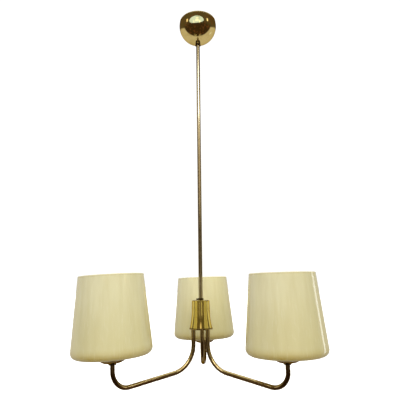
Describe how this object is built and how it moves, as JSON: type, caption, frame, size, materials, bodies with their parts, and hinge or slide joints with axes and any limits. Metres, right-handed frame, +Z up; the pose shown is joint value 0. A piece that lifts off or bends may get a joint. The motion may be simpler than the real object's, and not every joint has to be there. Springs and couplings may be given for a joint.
{
  "type": "multi arm chandelier",
  "caption": "Pendant lamp: ball canopy, long rod and flared hub in brass, bent tube arms each carrying a dish and a tapered cream glass shade open at the top",
  "frame": {"origin": "the point where the suspension loop bears on the ceiling hook, on the rod's axis", "axes": "+Z up along the rod, -Y toward the viewer between the two front arms, +X to the viewer's right; one arm points along +Y"},
  "size_m": [0.5384, 0.4883, 0.9397],
  "materials": {
    "brass": "polished brass, darkened a little with age",
    "contact_brass": "plain stamped brass",
    "steel": "zinc-plated steel",
    "shade_glass": "opaque cream cased glass, glossy",
    "bulb_glass": "opal bulb glass",
    "bulb_cap": "nickelled bulb cap",
    "bakelite": "black moulded resin",
    "porcelain": "glazed porcelain",
    "rubber": "black rubber",
    "cable": "brown cable sheath"
  },
  "bodies": {
    "frame": {"arm_back": "brass", "arm_cable_back": "cable", "arm_cable_left": "cable", "arm_cable_right": "cable", "arm_left": "brass", "arm_right": "brass", "ceiling_terminal_block": "porcelain", "contact_back": "contact_brass", "contact_left": "contact_brass", "contact_right": "contact_brass", "dish_back": "brass", "dish_left": "brass", "dish_right": "brass", "hub_base": "brass", "hub_nut": "steel", "hub_terminal_block": "porcelain", "loop_nut_lower": "steel", "loop_nut_upper": "steel", "ring_nut_back": "brass", "ring_nut_left": "brass", "ring_nut_right": "brass", "rod": "brass", "rod_cable": "cable", "screw_shell_back": "contact_brass", "screw_shell_left": "contact_brass", "screw_shell_right": "contact_brass", "socket_back": "bakelite", "socket_left": "bakelite", "socket_right": "bakelite", "suspension_loop": "steel"},
    "canopy_set": {"canopy": "brass", "canopy_collar": "brass", "canopy_set_screw": "brass"},
    "hub_cover_set": {"hub_cover": "brass", "hub_collar": "brass", "hub_set_screw": "brass"},
    "glass_left": {"shade_left": "shade_glass", "washer_left": "rubber"},
    "ring_left": {"shade_ring_left": "bakelite"},
    "lamp_bulb_left": {"bulb_left": "bulb_glass", "bulb_cap_left": "bulb_cap"},
    "glass_right": {"shade_right": "shade_glass", "washer_right": "rubber"},
    "ring_right": {"shade_ring_right": "bakelite"},
    "lamp_bulb_right": {"bulb_right": "bulb_glass", "bulb_cap_right": "bulb_cap"},
    "glass_back": {"shade_back": "shade_glass", "washer_back": "rubber"},
    "ring_back": {"shade_ring_back": "bakelite"},
    "lamp_bulb_back": {"bulb_back": "bulb_glass", "bulb_cap_back": "bulb_cap"}
  },
  "joints": [
    {"name": "canopy_slide", "type": "slide", "parent": "frame", "child": "canopy_set", "axis": [0, 0, -1], "range_m": [0, 0.45]},
    {"name": "hub_cover_lift", "type": "slide", "parent": "frame", "child": "hub_cover_set", "axis": [0, 0, 1], "range_m": [0, 0.12]},
    {"name": "glass_lift_left", "type": "slide", "parent": "frame", "child": "glass_left", "axis": [-0.0506, 0, 0.9987], "range_m": [0, 0.1]},
    {"name": "ring_lift_left", "type": "slide", "parent": "glass_left", "child": "ring_left", "axis": [-0.0506, 0, 0.9987], "range_m": [0, 0.2]},
    {"name": "bulb_lift_left", "type": "slide", "parent": "ring_left", "child": "lamp_bulb_left", "axis": [-0.0506, 0, 0.9987], "range_m": [0, 0.17]},
    {"name": "glass_lift_right", "type": "slide", "parent": "frame", "child": "glass_right", "axis": [-0.0122, 0, 0.9999], "range_m": [0, 0.1]},
    {"name": "ring_lift_right", "type": "slide", "parent": "glass_right", "child": "ring_right", "axis": [-0.0122, 0, 0.9999], "range_m": [0, 0.2]},
    {"name": "bulb_lift_right", "type": "slide", "parent": "ring_right", "child": "lamp_bulb_right", "axis": [-0.0122, 0, 0.9999], "range_m": [0, 0.17]},
    {"name": "glass_lift_back", "type": "slide", "parent": "frame", "child": "glass_back", "axis": [-0.0227, 0, 0.9997], "range_m": [0, 0.1]},
    {"name": "ring_lift_back", "type": "slide", "parent": "glass_back", "child": "ring_back", "axis": [-0.0227, 0, 0.9997], "range_m": [0, 0.2]},
    {"name": "bulb_lift_back", "type": "slide", "parent": "ring_back", "child": "lamp_bulb_back", "axis": [-0.0227, 0, 0.9997], "range_m": [0, 0.17]}
  ]
}
